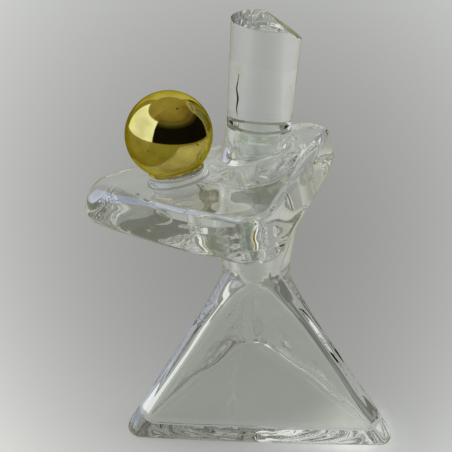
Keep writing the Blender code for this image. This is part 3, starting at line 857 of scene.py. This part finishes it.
# Bush and cement under the ball
# A cream plastic bush pressed into the ball's mouth, and a thin bed of clear cement between boss and ball.
# Both are hidden but for the cement's edge.
bush_plastic = plastic_finish("bush_plastic", (0.76, 0.73, 0.66), (0.66, 0.63, 0.56), 0.0, 0.45)
clear_cement = plastic_finish("clear_cement", (0.90, 0.88, 0.80), (0.80, 0.77, 0.66), 0.7, 0.12)
for node_name, material in (("ball_insert", bush_plastic), ("ball_cement", clear_cement)):
    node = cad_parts[node_name]
    node.data.materials.clear()
    node.data.materials.append(material)

# Stage
# A plain pale floor that pales far behind the bottle and to its sides, which is painted light falloff, with
# the light that the glass gathers painted into its tone and a painted shadow under the bottle's base, a wide
# window to the left, a pale room, and the dark side of the room in front and to the right, which only mirrors
# and glass show. The camera stands where the photograph was taken.
camera_azimuth_deg = -4.5
camera_elevation_deg = 22.3
camera_distance = 0.377
camera_roll_deg = 4.2
camera_lens = 119.47
camera_target = Vector((-0.00618, 0.00049, 0.0493))
room_middle = np.array((-0.012, 0.0, 0.070))
floor_half = 3.0
floor_back = 0.12
floor_points = 161
floor_even_share = 0.12
floor_drop = 0.0002
floor_camera_glow = 0.82
floor_mirror_glow = 0.90
floor_middle_tone = 0.37
floor_evenness = 0.6
floor_mirrored = (0.20, 0.19, 0.04)
floor_tint = np.array((0.985, 1.0, 0.97))
# The fans and tone terms paint a light falloff into the floor's tone: paler far behind the bottle and to its
# sides.
fan_across_middle, fan_across_depth = -0.006, 0.30
fan_depth_middle, fan_depth_depth = 0.15, 0.35
fan_near = -0.20
across_limits, depth_limits, tone_limits = (-0.24, 0.25), (-0.62, 0.46), (0.30, 0.74)
tone_terms = (0.327, -0.44, 0.17, 4.96, 0.74, -0.35)
# Patches of painted light that the glass gathers on the floor, and one of painted shadow under the base:
# size, x, y, reach in x and reach in y.
painted_light_and_shadow = ((0.62, 0.029, -0.013, 0.0075, 0.0100), (0.24, 0.018, -0.018, 0.013, 0.005),
                  (-0.07, -0.010, -0.014, 0.018, 0.007))
room_colour = (0.47, 0.48, 0.47)
room_through = (0.26, 0.27, 0.25)
room_mirrored = (0.30, 0.28, 0.16)
bounces, mirror_bounces, glass_bounces = 28, 20, 24


def floor_tone(x, y):
    """Lightness of the floor at (x, y): a second-degree form in two fans, one across and one into the depth.

    The fan across is x over the distance in front of a point near the camera; the fan into the depth runs
    from below 0 near the camera to above 0 far behind. Together they paint a light falloff, paler far behind
    the bottle and to its sides. Each painted patch adds its size times exp(-(dx / reach)^2 - (dy / reach)^2):
    the patches that add are painted light that the glass gathers, and the one that takes away is a painted
    shadow under the bottle's base.
    """
    near = np.maximum(y, fan_near)
    across = np.clip((x - fan_across_middle) / (fan_across_depth + near), *across_limits)
    depth = np.clip((y - fan_depth_middle) / (fan_depth_depth + near), *depth_limits)
    powers = (1.0, across, depth, across ** 2, depth ** 2, across * depth)
    tone = np.clip(sum(term * power for term, power in zip(tone_terms, powers)), *tone_limits)
    # Painted patches: light that the glass gathers, and, where the size is negative, shadow under the base.
    for size, place_x, place_y, reach_x, reach_y in painted_light_and_shadow:
        tone = tone + size * np.exp(-((x - place_x) / reach_x) ** 2 - ((y - place_y) / reach_y) ** 2)
    return tone


def sheet_quads(rows, columns):
    """Quads of an open sheet of points, counterclockwise where the columns run right and the rows up."""
    corner = np.arange(rows - 1)[:, None] * columns + np.arange(columns - 1)
    return np.stack((corner, corner + 1, corner + columns + 1, corner + columns), axis=-1).reshape(-1, 4)


def bare_finish(name):
    """A new material without a shader, its node tree, and the kinds of ray that it can tell apart."""
    material = bpy.data.materials.new(name)
    material.use_nodes = True
    tree = material.node_tree
    tree.nodes.remove(tree.nodes["Principled BSDF"])
    return material, tree, tree.nodes.new("ShaderNodeLightPath").outputs


floor_paper, tree, ray = bare_finish("floor_paper")
tone = add_node(tree, "Attribute", {}, "Color", attribute_name="tone")
evened = add_node(tree, "Math", {0: ray["Is Camera Ray"], 1: -floor_evenness, 2: floor_evenness},
                  operation="MULTIPLY_ADD")
bounced = {0: ray["Is Glossy Ray"], 1: ray["Is Transmission Ray"]}
pure_mirror = add_node(tree, "Math", bounced, operation="SUBTRACT", use_clamp=True)
seen_tone = mixed(tree, evened, tone, floor_middle_tone * floor_tint)
glow = add_node(tree, "Emission", {"Color": mixed(tree, pure_mirror, seen_tone, floor_mirrored)})
indirect = add_node(tree, "Math", bounced, operation="MAXIMUM")
shares = [add_node(tree, "Math", {0: seen, 1: share}, operation="MULTIPLY")
          for seen, share in ((indirect, floor_mirror_glow), (ray["Is Camera Ray"], floor_camera_glow))]
glow_share = add_node(tree, "Math", dict(enumerate(shares)), operation="MAXIMUM")
paper = add_node(tree, "BsdfDiffuse", {"Color": tone})
feed(tree, tree.nodes["Material Output"].inputs["Surface"],
     add_node(tree, "MixShader", {0: glow_share, 1: paper, 2: glow}))

spread_out = np.linspace(-1.0, 1.0, floor_points)
floor_line = floor_half * (floor_even_share * spread_out + (1.0 - floor_even_share) * spread_out ** 5)
floor_x, floor_y = np.meshgrid(floor_line, floor_line + floor_back)
floor_grid = np.stack((floor_x, floor_y, np.full_like(floor_x, -floor_drop)), axis=-1)
floor = make_piece("floor_sheet", floor_grid.reshape(-1, 3), sheet_quads(floor_points, floor_points).tolist(),
                   floor_paper)
# The floor's tone holds its painted light falloff, the painted light that the glass gathers and the painted
# shadow under the base.
floor_colour = np.ones((floor_x.size, 4))
floor_colour[:, :3] = floor_tone(floor_x, floor_y).reshape(-1, 1) * floor_tint
tones = floor.data.color_attributes.new("tone", "FLOAT_COLOR", "POINT")
tones.data.foreach_set("color", floor_colour.ravel())

world = bpy.data.worlds.new("pale_room")
scene.world = world
world.use_nodes = True
tree = world.node_tree
ray = tree.nodes.new("ShaderNodeLightPath").outputs
mirrored_room = mixed(tree, ray["Is Glossy Ray"], room_colour, room_mirrored)
feed(tree, tree.nodes["Background"].inputs["Color"],
     mixed(tree, ray["Is Transmission Ray"], mirrored_room, room_through))


def room_patch(name, azimuths, elevations, distance, mirrored, through, lit, fade=0.0):
    """A piece of a large ball round the bottle, between two azimuths off the camera and two elevations.

    It faces inwards, and gives off one colour in mirrors, one through glass, and one as light. Over the fade,
    a share of its height, it thins out towards its upper end.
    """
    rows, columns = 9, 13
    heading = np.radians(camera_azimuth_deg - 90.0 + np.linspace(*azimuths, columns))
    height = np.radians(np.linspace(*elevations, rows))[:, None]
    x, y = np.cos(height) * np.cos(heading), np.cos(height) * np.sin(heading)
    grid = room_middle + distance * np.stack((x, y, np.broadcast_to(np.sin(height), x.shape)), axis=-1)
    material, tree, ray = bare_finish(name)
    colour = mixed(tree, ray["Is Glossy Ray"], lit, mirrored)
    colour = mixed(tree, ray["Is Transmission Ray"], colour, through)
    cover = add_node(tree, "Attribute", {}, "Fac", attribute_name="cover")
    glow = add_node(tree, "Emission", {"Color": colour})
    feed(tree, tree.nodes["Material Output"].inputs["Surface"],
         add_node(tree, "MixShader", {0: cover, 1: add_node(tree, "BsdfTransparent", {}), 2: glow}))
    material.cycles.emission_sampling = "NONE"
    patch = make_piece(name, grid.reshape(-1, 3), sheet_quads(rows, columns)[:, ::-1].tolist(), material)
    left_above = np.broadcast_to(np.linspace(1.0, 0.0, rows)[:, None], x.shape).ravel()
    shares = np.clip(left_above / fade, 0.0, 1.0) if fade else np.ones(x.size)
    patch.data.attributes.new("cover", "FLOAT", "POINT").data.foreach_set("value", shares)
    patch.visible_camera = patch.visible_shadow = False
    patch.visible_diffuse = max(lit) > 0.0


unlit = (0.0, 0.0, 0.0)
dark_mirrored = (0.006, 0.006, 0.005)
dark_through = (0.15, 0.15, 0.13)
wall_tone = (0.22, 0.23, 0.20)
room_patch("window_light", (-128.0, -39.0), (-6.0, 44.0), 0.60, (1.05, 1.26, 2.30), (0.8, 0.82, 0.8),
           (4.0, 3.9, 3.7))
room_patch("back_wall", (160.0, 215.0), (3.0, 48.0), 0.62, (0.55, 0.55, 0.50), wall_tone, unlit)
room_patch("dark_side", (-38.0, 116.0), (-8.0, 56.0), 0.62, dark_mirrored, dark_through, unlit, 0.30)
room_patch("dark_corner", (125.0, 158.0), (-6.0, 34.0), 0.62, dark_mirrored, dark_through, unlit)
room_patch("brown_ceiling", (-60.0, 130.0), (46.0, 84.0), 0.64, (0.20, 0.165, 0.08), (0.40, 0.38, 0.34),
           unlit, 0.8)

azimuth, elevation, roll = np.radians((camera_azimuth_deg, camera_elevation_deg, camera_roll_deg))
ahead = Vector((-np.sin(azimuth) * np.cos(elevation), np.cos(azimuth) * np.cos(elevation),
                -np.sin(elevation)))
level_right = Vector((np.cos(azimuth), np.sin(azimuth), 0.0))
level_up = level_right.cross(ahead)
right = level_right * np.cos(roll) + level_up * np.sin(roll)
up = level_up * np.cos(roll) - level_right * np.sin(roll)
eye = camera_target - ahead * camera_distance
lens = bpy.data.cameras.new("camera")
lens.lens = camera_lens
lens.clip_start = 0.01
camera = bpy.data.objects.new("camera", lens)
scene.collection.objects.link(camera)
camera.matrix_world = Matrix.Translation(eye) @ Matrix((right, up, -ahead)).transposed().to_4x4()
scene.camera = camera
scene.view_settings.view_transform = "Standard"

# Light inside thick glass needs many bounces, or the glass goes dark.
scene.cycles.max_bounces = bounces
scene.cycles.glossy_bounces = mirror_bounces
scene.cycles.transmission_bounces = glass_bounces
